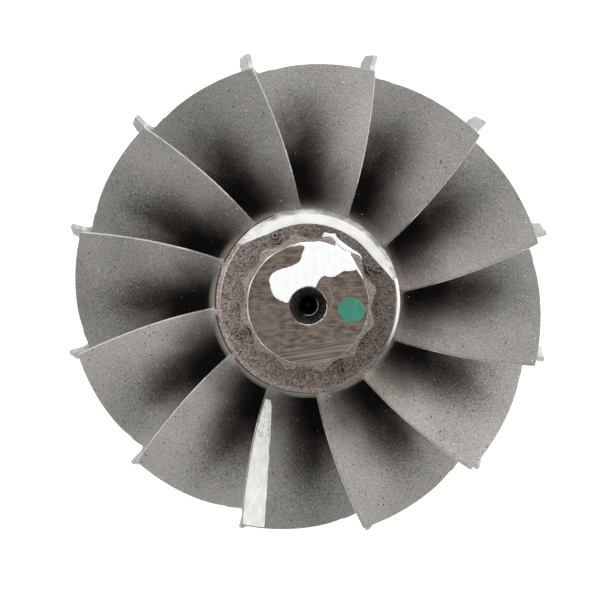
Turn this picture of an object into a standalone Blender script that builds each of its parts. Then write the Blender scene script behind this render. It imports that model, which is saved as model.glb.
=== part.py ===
"""Turbine wheel of a turbocharger, one investment casting in nickel alloy.

The wheel stands on its weld stub with the nose up: +Z is the axis, and the origin is the
middle of the stub's flat end. Twelve blades leave the hub in radial lines. Each one runs
from its trailing edge near the nose down to the inducer tip above the scalloped disc, and
turns anticlockwise on the way, seen from the nose.
"""

import math

import bmesh
import bpy

MM = 0.001

# Driving dimensions of the wheel.
BLADES = 12
PITCH = math.tau / BLADES
INDUCER_RADIUS = 44.0 * MM
EXDUCER_RADIUS = 40.0 * MM
FIRST_TIP_ANGLE = math.radians(13.6)

# Heights above the stub's end.
DISC_BACK_Z = 3.0 * MM
INDUCER_TIP_Z = 12.5 * MM
TRAILING_TIP_Z = 36.5 * MM
TRAILING_ROOT_Z = 40.0 * MM
COLLAR_Z = 45.5 * MM
NOSE_Z = 54.0 * MM

# Hub, disc and weld stub.
STUB_RADIUS = 12.0 * MM
STUB_CHAMFER = 0.6 * MM
DISC_RADIUS = 43.0 * MM
DISC_RIM_THICKNESS = 1.6 * MM
COLLAR_RADIUS = 15.2 * MM
COLLAR_BEVEL = 0.8 * MM
HUB_STEPS = 12
HUB_SIDES = 72

# Scallops between the blades' roots.
SCALLOP_RADIUS = 10.6 * MM
SCALLOP_CENTRE = 43.4 * MM
SCALLOP_SIDES = 32

# Blades.
TRAILING_TURN = math.radians(2.32) / MM
INDUCER_TURN = math.radians(0.22) / MM
TIP_THICKNESS = 0.9 * MM
ROOT_EDGE_THICKNESS = 1.3 * MM
ROOT_MIDDLE_THICKNESS = 2.4 * MM
ROOT_FLARE = 1.8 * MM
ROOT_FLARE_REACH = 1.6 * MM
ROOT_FLARE_FADE = 4
ROOT_DEPTH = 1.0 * MM
SHROUD_RADIUS = 40.3 * MM
SHROUD_TURN_HEIGHT = 3.5 * MM
SHROUD_TURN_SHARE = 0.25
INDUCER_CORNER = 1.0 * MM
INDUCER_CORNER_FADE = 8
CHORD_STEPS = 12
SPAN_STEPS = 6
SPAN_CROWDING = 1.5

# Twelve-point drive on the nose.
DRIVE_POINTS = 12
DRIVE_CORNER_RADIUS = 11.3 * MM
DRIVE_FACE_RADIUS = 9.75 * MM
DRIVE_CHAMFER = math.radians(35)
DRIVE_ANGLE = math.radians(11.5)

# Centre hole, drilled a little off the cast nose's middle.
HOLE_MOUTH_RADIUS = 3.0 * MM
PILOT_RADIUS = 1.55 * MM
PILOT_DEPTH = 5.5 * MM
HOLE_ANGLE = math.radians(60)
HOLE_OFFSET = 0.55 * MM
DRILL_POINT_SLOPE = math.radians(30)
HOLE_SIDES = 32

# Balance cut on the collar's rim.
CUT_START = math.radians(15)
CUT_END = math.radians(140)
CUT_RUN_OUT = math.radians(25)
CUT_INNER_RADIUS = 12.9 * MM
CUT_SLOPE = math.radians(42)
CUT_STEPS = 25

# Raised cast marks on the collar.
MARK_RADIUS = 12.3 * MM
MARK_SIZE = 0.65 * MM
MARK_HEIGHT = 0.3 * MM
MARK_ANGLE = math.radians(26.5)
MARKS = 4
MARK_SIDES = 12

# How far a cutter or a joined solid runs past the surface that it meets.
OVERLAP = 0.5 * MM

SHARP_ANGLE = math.radians(30)


def clear_scene():
    for item in list(bpy.data.objects):
        bpy.data.objects.remove(item, do_unlink=True)


def cast_alloy():
    """Grey cast nickel alloy with a fine matt skin."""
    material = bpy.data.materials.new("cast_nickel_alloy")
    material.use_nodes = True
    shader = material.node_tree.nodes["Principled BSDF"]
    shader.inputs["Base Color"].default_value = (0.27, 0.25, 0.24, 1.0)
    shader.inputs["Metallic"].default_value = 0.9
    shader.inputs["Roughness"].default_value = 0.5
    return material


def add_object(name, bm):
    """Closes a bmesh into a linked object with its faces pointing out."""
    bmesh.ops.recalc_face_normals(bm, faces=bm.faces)
    mesh = bpy.data.meshes.new(name)
    bm.to_mesh(mesh)
    bm.free()
    item = bpy.data.objects.new(name, mesh)
    bpy.context.scene.collection.objects.link(item)
    return item


def add_tool(name, bm):
    """A helper solid that only feeds a Boolean."""
    item = add_object(name, bm)
    item.hide_render = True
    item.display_type = "WIRE"
    return item


def combine(target, tool, operation):
    modifier = target.modifiers.new(f"{operation.lower()}_{tool.name}", "BOOLEAN")
    modifier.operation = operation
    modifier.solver = "EXACT"
    modifier.object = tool


def turned(profile, sides, centre=(0.0, 0.0)):
    """Spins (radius, height) points, which begin and end on the axis, into a closed solid."""
    bm = bmesh.new()
    ends = [bm.verts.new((centre[0], centre[1], profile[i][1])) for i in (0, -1)]
    rings = []
    for radius, height in profile[1:-1]:
        ring = []
        for i in range(sides):
            angle = math.tau * i / sides
            x = centre[0] + radius * math.cos(angle)
            y = centre[1] + radius * math.sin(angle)
            ring.append(bm.verts.new((x, y, height)))
        rings.append(ring)
    for lower, upper in zip(rings, rings[1:]):
        for i in range(sides):
            j = (i + 1) % sides
            bm.faces.new((lower[i], lower[j], upper[j], upper[i]))
    for end, ring in zip(ends, (rings[0], rings[-1])):
        for i in range(sides):
            bm.faces.new((end, ring[i], ring[(i + 1) % sides]))
    return bm


def add_prism(bm, outline, bottom, top):
    """Extrudes an outline of (x, y) points between two heights."""
    low = [bm.verts.new((x, y, bottom)) for x, y in outline]
    high = [bm.verts.new((x, y, top)) for x, y in outline]
    bm.faces.new(low)
    bm.faces.new(high)
    for i in range(len(outline)):
        j = (i + 1) % len(outline)
        bm.faces.new((low[i], low[j], high[j], high[i]))


def circle_points(radius, sides, centre=(0.0, 0.0)):
    points = []
    for i in range(sides):
        angle = math.tau * i / sides
        points.append((centre[0] + radius * math.cos(angle), centre[1] + radius * math.sin(angle)))
    return points


def turn_at(height):
    """How far the blade has turned, in radians, and how fast it turns there."""
    depth = TRAILING_TIP_Z - height
    turning_depth = TRAILING_TIP_Z - INDUCER_TIP_Z
    curved = min(depth, turning_depth)
    fall = (TRAILING_TURN - INDUCER_TURN) / turning_depth
    turn = TRAILING_TURN * curved - fall * curved**2 / 2 + INDUCER_TURN * (depth - curved)
    return turn, TRAILING_TURN - fall * curved


def hub_line(share, inset=0.0):
    """(radius, height) along the hub's quarter ellipse, from the collar down to the disc's rim."""
    angle = share * math.pi / 2
    across = DISC_RADIUS - COLLAR_RADIUS + inset
    down = TRAILING_ROOT_Z - DISC_BACK_Z - DISC_RIM_THICKNESS + inset
    return DISC_RADIUS - across * math.cos(angle), TRAILING_ROOT_Z - down * math.sin(angle)


def shroud_line(share):
    """(radius, height) along the blade's free edge: nearly straight, then out to the inducer tip."""
    turn_height = INDUCER_TIP_Z + SHROUD_TURN_HEIGHT
    straight = 1 - SHROUD_TURN_SHARE
    if share < straight:
        part = share / straight
        radius = EXDUCER_RADIUS + (SHROUD_RADIUS - EXDUCER_RADIUS) * part
        return radius, TRAILING_TIP_Z + (turn_height - TRAILING_TIP_Z) * part
    angle = (share - straight) / SHROUD_TURN_SHARE * math.pi / 2
    radius = INDUCER_RADIUS - (INDUCER_RADIUS - SHROUD_RADIUS) * math.cos(angle)
    return radius, turn_height - SHROUD_TURN_HEIGHT * math.sin(angle)


def inducer_bulge(span):
    """How far the inducer edge stands out from a straight line, so that it drops square to the disc."""
    root = hub_line(1.0, ROOT_DEPTH)
    corner = INDUCER_CORNER / (INDUCER_TIP_Z - root[1])
    rounded = math.sqrt(1 - (1 - min(span / corner, 1.0)) ** 2)
    return (INDUCER_RADIUS - root[0]) * (rounded - span)


def blade_point(chord, span):
    """(radius, height) on the blade: chord 0 is the trailing edge, span 0 is the root inside the hub."""
    root = hub_line(chord, ROOT_DEPTH)
    edge = shroud_line(chord)
    bulge = inducer_bulge(span) * chord**INDUCER_CORNER_FADE
    return root[0] + (edge[0] - root[0]) * span + bulge, root[1] + (edge[1] - root[1]) * span


def blade_thickness(chord, span, root_distance):
    root = ROOT_EDGE_THICKNESS
    root += (ROOT_MIDDLE_THICKNESS - ROOT_EDGE_THICKNESS) * math.sin(math.pi * chord)
    flare = ROOT_FLARE * math.exp(-root_distance / ROOT_FLARE_REACH) * (1 - chord**ROOT_FLARE_FADE)
    return root + (TIP_THICKNESS - root) * span + flare


def add_blade(bm, tip_angle):
    """One blade as a closed skin: two faces on either side of its middle surface, and four edges."""
    sides = ([], [])
    for i in range(CHORD_STEPS + 1):
        chord = i / CHORD_STEPS
        root = hub_line(chord, ROOT_DEPTH)
        rows = ([], [])
        for k in range(SPAN_STEPS + 1):
            span = (k / SPAN_STEPS) ** SPAN_CROWDING
            radius, height = blade_point(chord, span)
            turn, rate = turn_at(height)
            angle = tip_angle + turn
            lean = radius * rate
            length = math.hypot(1.0, lean)
            distance = math.dist(root, (radius, height))
            half = blade_thickness(chord, span, distance) / 2
            for row, sign in zip(rows, (1, -1)):
                offset = sign * half / length
                x = radius * math.cos(angle) - offset * math.sin(angle)
                y = radius * math.sin(angle) + offset * math.cos(angle)
                row.append(bm.verts.new((x, y, height + offset * lean)))
        for side, row in zip(sides, rows):
            side.append(row)
    for i in range(CHORD_STEPS):
        for k in range(SPAN_STEPS):
            for side in sides:
                bm.faces.new((side[i][k], side[i + 1][k], side[i + 1][k + 1], side[i][k + 1]))
    front, back = sides
    for i in range(CHORD_STEPS):
        for k in (0, SPAN_STEPS):
            bm.faces.new((front[i][k], front[i + 1][k], back[i + 1][k], back[i][k]))
    for k in range(SPAN_STEPS):
        for i in (0, CHORD_STEPS):
            bm.faces.new((front[i][k], front[i][k + 1], back[i][k + 1], back[i][k]))


def make_hub():
    """Stub, disc, hub and collar in one turned profile."""
    profile = [
        (0.0, 0.0),
        (STUB_RADIUS - STUB_CHAMFER, 0.0),
        (STUB_RADIUS, STUB_CHAMFER),
        (STUB_RADIUS, DISC_BACK_Z),
        (DISC_RADIUS, DISC_BACK_Z),
    ]
    profile += [hub_line(1 - i / HUB_STEPS) for i in range(HUB_STEPS + 1)]
    profile += [
        (COLLAR_RADIUS, COLLAR_Z - COLLAR_BEVEL),
        (COLLAR_RADIUS - COLLAR_BEVEL, COLLAR_Z),
        (0.0, COLLAR_Z),
    ]
    return add_object("turbine_wheel", turned(profile, HUB_SIDES))


def make_blades():
    bm = bmesh.new()
    for i in range(BLADES):
        add_blade(bm, FIRST_TIP_ANGLE + PITCH * i)
    return add_tool("blade_ring", bm)


def make_scallops():
    """Twelve round cutters midway between the blades' roots."""
    bm = bmesh.new()
    root_angle = FIRST_TIP_ANGLE + turn_at(DISC_BACK_Z + DISC_RIM_THICKNESS / 2)[0]
    for i in range(BLADES):
        angle = root_angle + PITCH * (i + 0.5)
        centre = (SCALLOP_CENTRE * math.cos(angle), SCALLOP_CENTRE * math.sin(angle))
        outline = circle_points(SCALLOP_RADIUS, SCALLOP_SIDES, centre)
        add_prism(bm, outline, DISC_BACK_Z - OVERLAP, TRAILING_ROOT_Z)
    return add_tool("scallop_cutters", bm)


def make_drive():
    """Twelve-point boss: two hexagons crossed at 30 degrees, chamfered round the top."""
    half_step = math.pi / DRIVE_POINTS
    valley = DRIVE_CORNER_RADIUS * math.cos(math.pi / 6) / math.cos(half_step)
    outline = []
    for i in range(2 * DRIVE_POINTS):
        angle = DRIVE_ANGLE + half_step * i
        radius = valley if i % 2 else DRIVE_CORNER_RADIUS
        outline.append((radius * math.cos(angle), radius * math.sin(angle)))
    bm = bmesh.new()
    add_prism(bm, outline, COLLAR_Z - OVERLAP, NOSE_Z)
    boss = add_tool("drive_boss", bm)
    reach = DRIVE_CORNER_RADIUS + OVERLAP
    chamfer_z = NOSE_Z - (reach - DRIVE_FACE_RADIUS) * math.tan(DRIVE_CHAMFER)
    profile = [
        (0.0, COLLAR_Z - 2 * OVERLAP),
        (reach, COLLAR_Z - 2 * OVERLAP),
        (reach, chamfer_z),
        (DRIVE_FACE_RADIUS, NOSE_Z),
        (0.0, NOSE_Z),
    ]
    combine(boss, add_tool("drive_chamfer", turned(profile, HUB_SIDES)), "INTERSECT")
    return boss


def make_centre_hole():
    """Countersunk centre with a drilled pilot below it."""
    slope = 1 / math.tan(HOLE_ANGLE / 2)
    cone_bottom = NOSE_Z - (HOLE_MOUTH_RADIUS - PILOT_RADIUS) * slope
    profile = [
        (0.0, NOSE_Z - PILOT_DEPTH - PILOT_RADIUS * math.tan(DRILL_POINT_SLOPE)),
        (PILOT_RADIUS, NOSE_Z - PILOT_DEPTH),
        (PILOT_RADIUS, cone_bottom),
        (HOLE_MOUTH_RADIUS + OVERLAP / slope, NOSE_Z + OVERLAP),
        (0.0, NOSE_Z + OVERLAP),
    ]
    return add_tool("centre_hole", turned(profile, HOLE_SIDES, (0.0, -HOLE_OFFSET)))


def make_balance_cut():
    """Wedge swept round the rim: full depth in the middle, running out at both ends."""
    bm = bmesh.new()
    outer = COLLAR_RADIUS + 2 * OVERLAP
    sections = []
    for i in range(CUT_STEPS + 1):
        angle = CUT_START + (CUT_END - CUT_START) * i / CUT_STEPS
        from_end = min(angle - CUT_START, CUT_END - angle) / CUT_RUN_OUT
        bite = math.sin(min(from_end, 1.0) * math.pi / 2)
        inner = COLLAR_RADIUS + OVERLAP - (COLLAR_RADIUS + OVERLAP - CUT_INNER_RADIUS) * bite
        low = COLLAR_Z - (outer - inner) * math.tan(CUT_SLOPE)
        top = COLLAR_Z + OVERLAP
        section = []
        for radius, height in ((inner, top), (inner, COLLAR_Z), (outer, low), (outer, top)):
            section.append(bm.verts.new((radius * math.cos(angle), radius * math.sin(angle), height)))
        sections.append(section)
    for first, second in zip(sections, sections[1:]):
        for k in range(len(first)):
            j = (k + 1) % len(first)
            bm.faces.new((first[k], first[j], second[j], second[k]))
    bm.faces.new(sections[0])
    bm.faces.new(sections[-1])
    return add_tool("balance_cut", bm)


def make_marks():
    """Four plain round pips between the drive's corners, where a casting carries its marks."""
    bm = bmesh.new()
    for i in range(MARKS):
        angle = MARK_ANGLE + math.tau * i / MARKS
        centre = (MARK_RADIUS * math.cos(angle), MARK_RADIUS * math.sin(angle))
        outline = circle_points(MARK_SIZE, MARK_SIDES, centre)
        add_prism(bm, outline, COLLAR_Z - OVERLAP, COLLAR_Z + MARK_HEIGHT)
    return add_tool("cast_marks", bm)


def make_wheel():
    wheel = make_hub()
    wheel.data.materials.append(cast_alloy())
    combine(wheel, make_scallops(), "DIFFERENCE")
    combine(wheel, make_blades(), "UNION")
    combine(wheel, make_balance_cut(), "DIFFERENCE")
    combine(wheel, make_drive(), "UNION")
    combine(wheel, make_marks(), "UNION")
    combine(wheel, make_centre_hole(), "DIFFERENCE")
    wheel.data.shade_smooth()
    wheel.data.set_sharp_from_angle(angle=SHARP_ANGLE)


clear_scene()
make_wheel()
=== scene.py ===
"""Looks of a turbocharger's turbine wheel: one rough investment casting with a machined nose,
ground edges, a balance cut and inspectors' paint. Lengths are in millimetres until add_piece
turns them into metres, and +Z is the wheel's axis."""
from math import acos, atan2, cos, degrees, dist, exp, hypot, inf, pi, radians, sin, sqrt, tan, tau

import bmesh
import bpy
from mathutils import Matrix, Vector, noise
from mathutils.geometry import delaunay_2d_cdt


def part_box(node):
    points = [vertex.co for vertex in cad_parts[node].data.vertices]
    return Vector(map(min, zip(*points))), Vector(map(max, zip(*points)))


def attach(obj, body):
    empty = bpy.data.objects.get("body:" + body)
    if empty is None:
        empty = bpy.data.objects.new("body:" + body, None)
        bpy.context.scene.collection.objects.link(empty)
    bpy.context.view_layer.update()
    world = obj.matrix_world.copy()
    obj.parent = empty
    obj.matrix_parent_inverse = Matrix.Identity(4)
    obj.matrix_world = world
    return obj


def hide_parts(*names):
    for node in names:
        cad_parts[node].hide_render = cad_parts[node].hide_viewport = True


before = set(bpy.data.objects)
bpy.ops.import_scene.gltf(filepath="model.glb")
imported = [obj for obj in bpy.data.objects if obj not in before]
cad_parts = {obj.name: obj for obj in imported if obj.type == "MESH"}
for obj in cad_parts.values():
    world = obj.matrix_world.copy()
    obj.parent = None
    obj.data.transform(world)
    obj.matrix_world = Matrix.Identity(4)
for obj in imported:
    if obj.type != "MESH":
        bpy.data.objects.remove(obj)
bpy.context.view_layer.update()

# Disc, hub and collar. The core of the casting: a thin-rimmed disc scalloped between the blades,
# a trumpet-shaped hub above it and a round collar under the nose. It is cast nickel alloy with a
# rough skin; the back, the weld stub and the balance cut on the collar's shoulder are machined.
MM = 0.001
BLADES = 12
PITCH = tau / BLADES
FIRST_TIP_ANGLE = radians(13.6)
TRAILING_TIP_Z = 36.5
INDUCER_TIP_Z = 12.5
TRAILING_TURN = radians(2.32)
INDUCER_TURN = radians(0.22)
EXDUCER_RADIUS = 40.0
STUB_RADIUS = 12.0
STUB_CHAMFER = 0.6
STUB_FILLET = 0.8
DISC_BACK_Z = 3.0
DISC_RADIUS = 43.0
DISC_RIM_THICKNESS = 1.6
BACK_STEPS = 8
SCALLOP_RADIUS = 10.6
SCALLOP_CENTRE = 43.4
SCALLOP_COLUMNS = 42
EDGE_ROUND = 0.45
HUB_TOP_Z = 40.0
HUB_STEPS = 34
LEDGE = 0.1
LEDGE_SHIFT = 0.46
BULGE = 0.2
BULGE_SHIFT = 1.3
BULGE_DEPTH = 5.0
SHIFTED_TOWARD = radians(235)
GROOVE_AND_FLANK = ((-0.1, 0.1), (-0.1, 0.5), (0.0, 0.65), (0.0, 1.8))
SHADED_FROM = radians(112)
SHADED_TO = radians(308)
COLLAR_Z = 45.5
COLLAR_RADIUS = 15.2
COLLAR_TOP_INNER = 9.0
COLLAR_TOP_STEPS = 14
BEVEL_RADIUS = 14.45
BEVEL_FOOT_Z = 44.65
BEVEL_CREST = 0.04
BEVEL_STEPS = 3
HIGHLIT_BEVEL_FROM = radians(298)
RUBBED_TOWARD = radians(160)
CUT_START = radians(14)
CUT_END = radians(140)
CUT_RUN_OUT = radians(26)
CUT_INNER_RADIUS = 12.85
CUT_DROP_AT_BEVEL = 1.15
CUT_DROP_AT_FLANK = 1.2
CUT_STEPS = 6
CUT_SEEN = 0.02
HUB_ACROSS = DISC_RADIUS - COLLAR_RADIUS
HUB_DOWN = HUB_TOP_Z - DISC_BACK_Z - DISC_RIM_THICKNESS


def held(value):
    """A value held between 0 and 1."""
    return min(1.0, max(0.0, value))


def between(first, second, share):
    return first + (second - first) * share


def part_way(first, second, share):
    """A point a share of the way from one point to another."""
    return tuple(between(a, b, share) for a, b in zip(first, second))


def quarter_turn(steps):
    """Evenly spread angles from 0 to a right angle."""
    return [step / steps * pi / 2 for step in range(steps + 1)]


def on_circle(radius, angle):
    return radius * cos(angle), radius * sin(angle)


def turn_at(height):
    """How far a blade has turned at a height, in radians, and how fast it turns there."""
    turning_depth = TRAILING_TIP_Z - INDUCER_TIP_Z
    depth = TRAILING_TIP_Z - height
    curved = min(depth, turning_depth)
    fall = (TRAILING_TURN - INDUCER_TURN) / turning_depth
    turn = TRAILING_TURN * curved - fall * curved**2 / 2 + INDUCER_TURN * (depth - curved)
    return turn, TRAILING_TURN - fall * curved


def hub_point(share):
    """(radius, height) on the hub's quarter ellipse: 0 at the collar, 1 at the disc's rim."""
    angle = share * pi / 2
    return DISC_RADIUS - HUB_ACROSS * cos(angle), HUB_TOP_Z - HUB_DOWN * sin(angle)


def hub_share(radius):
    return acos(held((DISC_RADIUS - radius) / HUB_ACROSS)) / (pi / 2)


ROOT_ANGLE = FIRST_TIP_ANGLE + turn_at(DISC_BACK_Z + DISC_RIM_THICKNESS / 2)[0]


def rim_points(inset):
    """(angle, radius) round the scalloped rim, set in from it by a distance."""
    points = []
    radius = SCALLOP_RADIUS + inset
    end = DISC_RADIUS - inset
    reach = acos((SCALLOP_CENTRE**2 + radius**2 - end**2) / (2 * SCALLOP_CENTRE * radius))
    for scallop in range(BLADES):
        middle = ROOT_ANGLE + PITCH * (scallop + 0.5)
        for i in range(SCALLOP_COLUMNS):
            inward, across = on_circle(radius, reach * (2 * i / (SCALLOP_COLUMNS - 1) - 1))
            along = SCALLOP_CENTRE - inward
            points.append((middle + atan2(across, along), hypot(across, along)))
    return points


def ring(bm, points):
    """Vertices from (angle, radius, height) points."""
    return [bm.verts.new((*on_circle(r, a), z)) for a, r, z in points]


def join_rings(bm, rings, material=0, closed=True):
    """Quads between neighbouring rings of equally many vertices; returns the faces ring by ring."""
    faces = []
    for lower, upper in zip(rings, rings[1:]):
        count = len(lower)
        row = []
        for i in range(count if closed else count - 1):
            j = (i + 1) % count
            face = bm.faces.new((lower[i], lower[j], upper[j], upper[i]))
            face.material_index = material
            row.append(face)
        faces.append(row)
    return faces


def close_ring(bm, edge, middle, material):
    """Fan of triangles from a ring to a point."""
    tip = bm.verts.new(middle)
    for i in range(len(edge)):
        face = bm.faces.new((tip, edge[i], edge[(i + 1) % len(edge)]))
        face.material_index = material


def give_material(rows, number, at=None):
    """Gives rings of faces a material by its number, all round or only in some columns."""
    for row in rows:
        for i, face in enumerate(row):
            if at is None or at[i]:
                face.material_index = number


def add_piece(name, bm, materials, sharp=35):
    """Links a mesh as a smooth-shaded piece that rides with the wheel, in metres."""
    bmesh.ops.recalc_face_normals(bm, faces=bm.faces)
    bmesh.ops.scale(bm, vec=(MM, MM, MM), verts=bm.verts)
    mesh = bpy.data.meshes.new(name)
    bm.to_mesh(mesh)
    bm.free()
    for material in materials:
        mesh.materials.append(material)
    mesh.shade_smooth()
    mesh.set_sharp_from_angle(angle=radians(sharp))
    piece = bpy.data.objects.new(name, mesh)
    bpy.context.scene.collection.objects.link(piece)
    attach(piece, "root")
    return piece


def cut_share(angle):
    """How far the balance cut reaches at an angle: 0 outside it, 1 along its middle."""
    turned = angle % tau
    return sin(held(min(turned - CUT_START, CUT_END - turned) / CUT_RUN_OUT) * pi / 2)


def shoulder_profile(angle):
    """(radius, height) points over the collar's bevel, across the balance cut and on to the top."""
    share = cut_share(angle)
    ragged = noise.noise(Vector((cos(angle), sin(angle), 0.3)) * 38)
    foot = (COLLAR_RADIUS, BEVEL_FOOT_Z - CUT_DROP_AT_FLANK * share)
    drop = BEVEL_CREST + (CUT_DROP_AT_BEVEL - BEVEL_CREST) * share
    crest = (BEVEL_RADIUS + 0.05 * share, COLLAR_Z - drop)
    top_edge = BEVEL_RADIUS - 0.03
    inner = (top_edge - (top_edge - CUT_INNER_RADIUS + 0.05 * ragged) * share, COLLAR_Z)
    points = [(COLLAR_RADIUS, foot[1] - 0.5), (COLLAR_RADIUS, foot[1] - 0.05)]
    points += [part_way(foot, crest, step / BEVEL_STEPS) for step in range(BEVEL_STEPS)]
    points += [part_way(crest, inner, step / CUT_STEPS) for step in range(CUT_STEPS + 1)]
    return points + [(inner[0] - 0.12, COLLAR_Z)]


def shifted_share(angle):
    """The hub was cast a little off the collar's middle: 1 where it stands out most, 0 opposite."""
    return 0.5 + 0.5 * cos(angle - SHIFTED_TOWARD)


CAST, TURNED, BALANCED, COLLAR_CAST, BARE_HIGHLIT, SMEARED, PAINTED_SHADE = range(7)


def build_core():
    bm = bmesh.new()
    worn = bm.verts.layers.float.new("worn_edge")
    edge = rim_points(EDGE_ROUND)
    columns = [a for a, _ in edge]
    rings = []

    def add_round(radius, height):
        rings.append(ring(bm, [(a, radius, height) for a in columns]))

    add_round(STUB_RADIUS - STUB_CHAMFER, 0.0)
    add_round(STUB_RADIUS, STUB_CHAMFER)
    back_start = STUB_RADIUS + STUB_FILLET
    for turn in quarter_turn(4):
        rise = DISC_BACK_Z - STUB_FILLET * (1 - sin(turn))
        add_round(STUB_RADIUS + STUB_FILLET * (1 - cos(turn)), rise)
    for step in range(1, BACK_STEPS + 1):
        part = step / BACK_STEPS
        rings.append(ring(bm, [(a, between(back_start, r, part), DISC_BACK_Z) for a, r in edge]))
    machined = len(rings) - 1
    for turn in quarter_turn(4)[1:4]:
        rise = EDGE_ROUND * (1 - cos(turn))
        loop = rim_points(EDGE_ROUND * (1 - sin(turn)))
        rings.append(ring(bm, [(a, r, DISC_BACK_Z + rise) for a, r in loop]))
    for turn in quarter_turn(4)[:0:-1]:
        drop = EDGE_ROUND * (1 - cos(turn))
        loop = rim_points(EDGE_ROUND * (1 - sin(turn)))
        rings.append(ring(bm, [(a, r, hub_point(hub_share(r))[1] - drop) for a, r in loop]))
    for step in range(HUB_STEPS + 1):
        points = []
        for a, r in edge:
            radius, height = hub_point(hub_share(r) * (1 - step / HUB_STEPS))
            sunk = (HUB_TOP_Z - height) / BULGE_DEPTH
            out = (LEDGE + LEDGE_SHIFT * shifted_share(a)) * exp(-(sunk * 5) ** 2)
            out += (BULGE + BULGE_SHIFT * shifted_share(a)) * sunk * exp(1 - sunk)
            points.append((a, radius + out, height))
        rings.append(ring(bm, points))
    groove = len(rings) - 1
    ledge = [(a, COLLAR_RADIUS + LEDGE + LEDGE_SHIFT * shifted_share(a)) for a in columns]
    rings.append(ring(bm, [(a, r - 0.06, HUB_TOP_Z + 0.05) for a, r in ledge]))
    for out, up in GROOVE_AND_FLANK:
        add_round(COLLAR_RADIUS + out, HUB_TOP_Z + up)
    bevel = len(rings) + 2
    profiles = [shoulder_profile(a) for a in columns]
    for level in zip(*profiles):
        rings.append(ring(bm, [(a, *point) for a, point in zip(columns, level)]))
    for step in range(1, COLLAR_TOP_STEPS + 1):
        part = step / COLLAR_TOP_STEPS
        points = []
        for a, profile in zip(columns, profiles):
            radius = between(profile[-1][0], COLLAR_TOP_INNER, part)
            rough = noise.noise(Vector((*on_circle(radius, a), 0.0)) * 0.9)
            points.append((a, radius, COLLAR_Z + 0.05 * rough * sin(pi * part)))
        rings.append(ring(bm, points))
    faces = join_rings(bm, rings)
    crest = bevel + BEVEL_STEPS
    in_shade = [SHADED_FROM < a % tau < SHADED_TO for a in columns]
    beyond = [(a - CUT_START) % tau for a in columns]
    cut = [cut_share(a) for a in columns]
    give_material(faces[:machined], TURNED)
    give_material(faces[groove:], COLLAR_CAST)
    # Painted shade: the groove under the collar takes the near-black crevice material on the side where
    # it lies in shadow.
    give_material(faces[groove:groove + 3], PAINTED_SHADE, in_shade)
    # Part of the bare bevel carries a painted highlight toward one side.
    give_material(faces[bevel:crest], BARE_HIGHLIT, [turned > HIGHLIT_BEVEL_FROM for turned in beyond])
    give_material(faces[bevel:crest], SMEARED, [turned < CUT_END - CUT_START for turned in beyond])
    give_material(faces[crest:crest + CUT_STEPS], BALANCED, [share > CUT_SEEN for share in cut])
    edges = zip(columns, cut, rings[crest - 1], rings[crest], rings[crest + CUT_STEPS])
    for a, share, below, low, high in edges:
        wear_and_highlight = max(0.0, cos(a - RUBBED_TOWARD) * 4 - 3)
        below[worn] = 0.5 * wear_and_highlight
        low[worn] = high[worn] = 0.25 + 0.6 * wear_and_highlight if share < CUT_SEEN else 0.0
    close_ring(bm, rings[0], (0.0, 0.0, 0.0), TURNED)
    close_ring(bm, rings[-1], (0.0, 0.0, COLLAR_Z), COLLAR_CAST)
    return bm


class Wire:
    """A node's output that is reckoned with like a number: each step adds a math node."""

    def __init__(self, socket):
        self.socket = socket

    def __add__(self, other):
        return calc("ADD", self, other)

    def __sub__(self, other):
        return calc("SUBTRACT", self, other)

    def __rsub__(self, other):
        return calc("SUBTRACT", other, self)

    def __mul__(self, other):
        return calc("MULTIPLY", self, other)


def feed(socket, value):
    """Gives an input a wire from another node, a value, or a colour, which gets its alpha."""
    if isinstance(value, Wire):
        socket.id_data.links.new(value.socket, socket)
    elif socket.type == "RGBA":
        socket.default_value = (*value, 1.0)
    else:
        socket.default_value = value


def add_node(tree, kind, inputs=None, **settings):
    """Adds a shader node with its settings and with what goes into it, by name or number."""
    node = tree.nodes.new("ShaderNode" + kind)
    for name, value in settings.items():
        setattr(node, name, value)
    for key, value in (inputs or {}).items():
        feed(node.inputs[key], value)
    return node


def add_beside(kind, inputs, **settings):
    """Adds a node to the tree that its inputs come from."""
    tree = next(value.socket.id_data for value in inputs.values() if isinstance(value, Wire))
    return add_node(tree, kind, inputs, **settings)


def flow(kind, inputs, output=0, **settings):
    """Adds a node beside those that feed it and gives one of its outputs."""
    return Wire(add_beside(kind, inputs, **settings).outputs[output])


def calc(operation, *values):
    return flow("Math", dict(enumerate(values)), operation=operation)


def fade(value, low, high):
    """0 at low and 1 at high, smooth between; low may be the larger one."""
    ends = {"Value": value, "From Min": low, "From Max": high}
    return flow("MapRange", ends, interpolation_type="SMOOTHSTEP")


def mix_colours(share, first, second):
    return flow("Mix", {0: share, 6: first, 7: second}, 2, data_type="RGBA")


def mix_values(share, first, second):
    return flow("Mix", {0: share, 2: first, 3: second})


def stretch(where, x, y, z):
    return flow("VectorMath", {0: where, 1: (x, y, z)}, operation="MULTIPLY")


def length_of(vector):
    return flow("VectorMath", {0: vector}, "Value", operation="LENGTH")


def cloud(where, scale, detail):
    """Smooth noise from 0 to 1 with a number of features per millimetre."""
    return flow("TexNoise", {"Vector": where, "Scale": scale, "Detail": detail, "Roughness": 0.6})


def scatter(where, scale, draw):
    """Points strewn at random: how far the nearest is, and a number from 0 to 1 drawn for it."""
    points = add_beside("TexVoronoi", {"Vector": where, "Scale": scale})
    drawn = flow("SeparateColor", {0: Wire(points.outputs["Color"])}, draw)
    return Wire(points.outputs["Distance"]), drawn


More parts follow.
